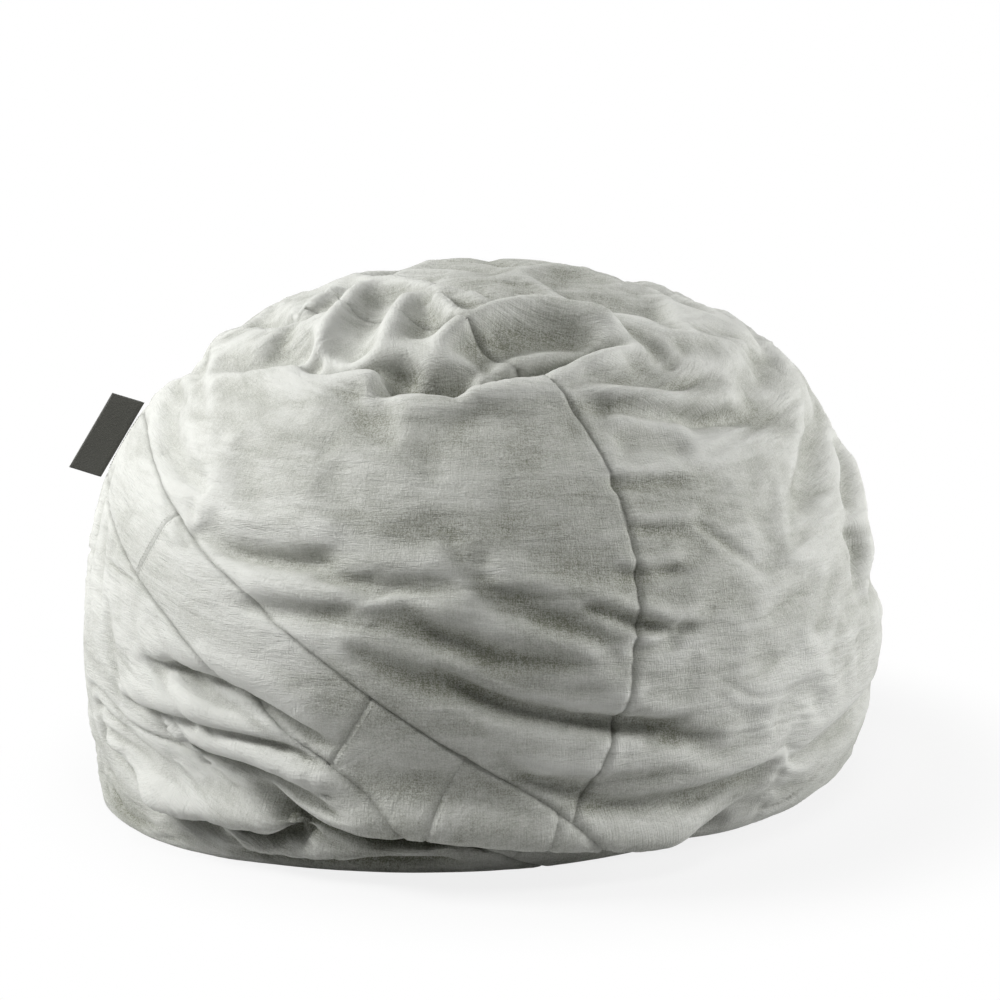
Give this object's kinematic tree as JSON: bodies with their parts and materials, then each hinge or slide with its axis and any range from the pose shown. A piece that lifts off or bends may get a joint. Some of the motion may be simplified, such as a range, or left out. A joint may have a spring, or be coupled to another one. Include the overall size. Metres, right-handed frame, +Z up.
{
  "type": "bean bag chair",
  "caption": "Round foam-filled floor seat with a sewn two-part dome, a slanting band round the side, a base panel, a folded side tag and a zipped cover over a zipped liner",
  "frame": {"origin": "on the floor under the middle of the bag", "axes": "+Z up, +X to the right and -Y to the front as the picture shows the bag"},
  "size_m": [1.0588, 1.05, 0.67],
  "materials": {
    "cover_fabric": "brushed woven fabric with a soft nap, pale sage grey",
    "tag_fabric": "close woven label ribbon, dark olive grey, bare",
    "zip_tape": "woven polyester tape",
    "zip_plastic": "moulded acetal, satin",
    "slider_metal": "painted die cast zinc",
    "liner_fabric": "thin plain woven polyester, off white",
    "foam": "shredded open cell foam"
  },
  "bodies": {
    "bag": {"front_dome_panel": "cover_fabric", "rear_dome_panel": "cover_fabric", "base_panel": "cover_fabric", "band_left": "cover_fabric", "band_left_front": "cover_fabric", "band_front": "cover_fabric", "band_front_short": "cover_fabric", "band_front_low": "cover_fabric", "band_under": "cover_fabric", "band_rear": "cover_fabric", "zip_inset_left": "cover_fabric", "zip_inset_right": "cover_fabric", "cover_zip_tape_left": "zip_tape", "cover_zip_tape_right": "zip_tape", "cover_zip_teeth_left": "zip_plastic", "cover_zip_teeth_right": "zip_plastic", "cover_zip_bottom_stop": "zip_plastic", "cover_zip_top_stops": "zip_plastic", "liner_left": "liner_fabric", "liner_right": "liner_fabric", "liner_zip_tape_left": "zip_tape", "liner_zip_tape_right": "zip_tape", "liner_zip_coil_left": "zip_plastic", "liner_zip_coil_right": "zip_plastic", "liner_zip_bottom_stop": "zip_plastic", "liner_zip_top_stops": "zip_plastic", "foam_fill": "foam"},
    "slider": {"cover_zip_slider": "slider_metal"},
    "pull": {"cover_zip_pull": "slider_metal"},
    "liner_slider": {"liner_zip_slider": "slider_metal"},
    "tag": {"side_tag": "tag_fabric"}
  },
  "joints": [
    {"name": "cover_zip_travel", "type": "hinge", "parent": "bag", "child": "slider", "pos_m": [0.06807, 0.06807, 0.222], "axis": [-0.7071, 0.7071, 0], "range_deg": [0, 57.3]},
    {"name": "pull_swing", "type": "hinge", "parent": "slider", "child": "pull", "pos_m": [0.28239, 0.28239, 0.53225], "axis": [0.7071, -0.7071, 0], "range_deg": [0, 175]},
    {"name": "liner_zip_travel", "type": "hinge", "parent": "bag", "child": "liner_slider", "pos_m": [0.06807, 0.06807, 0.2063], "axis": [-0.7071, 0.7071, 0], "range_deg": [0, 47.1]},
    {"name": "tag_flip", "type": "hinge", "parent": "bag", "child": "tag", "pos_m": [-0.46455, -0.02838, 0.44278], "axis": [0.5159, -0.0924, 0.8516], "range_deg": [-80, 80], "stiffness_Nm_per_rad": 0.002}
  ]
}
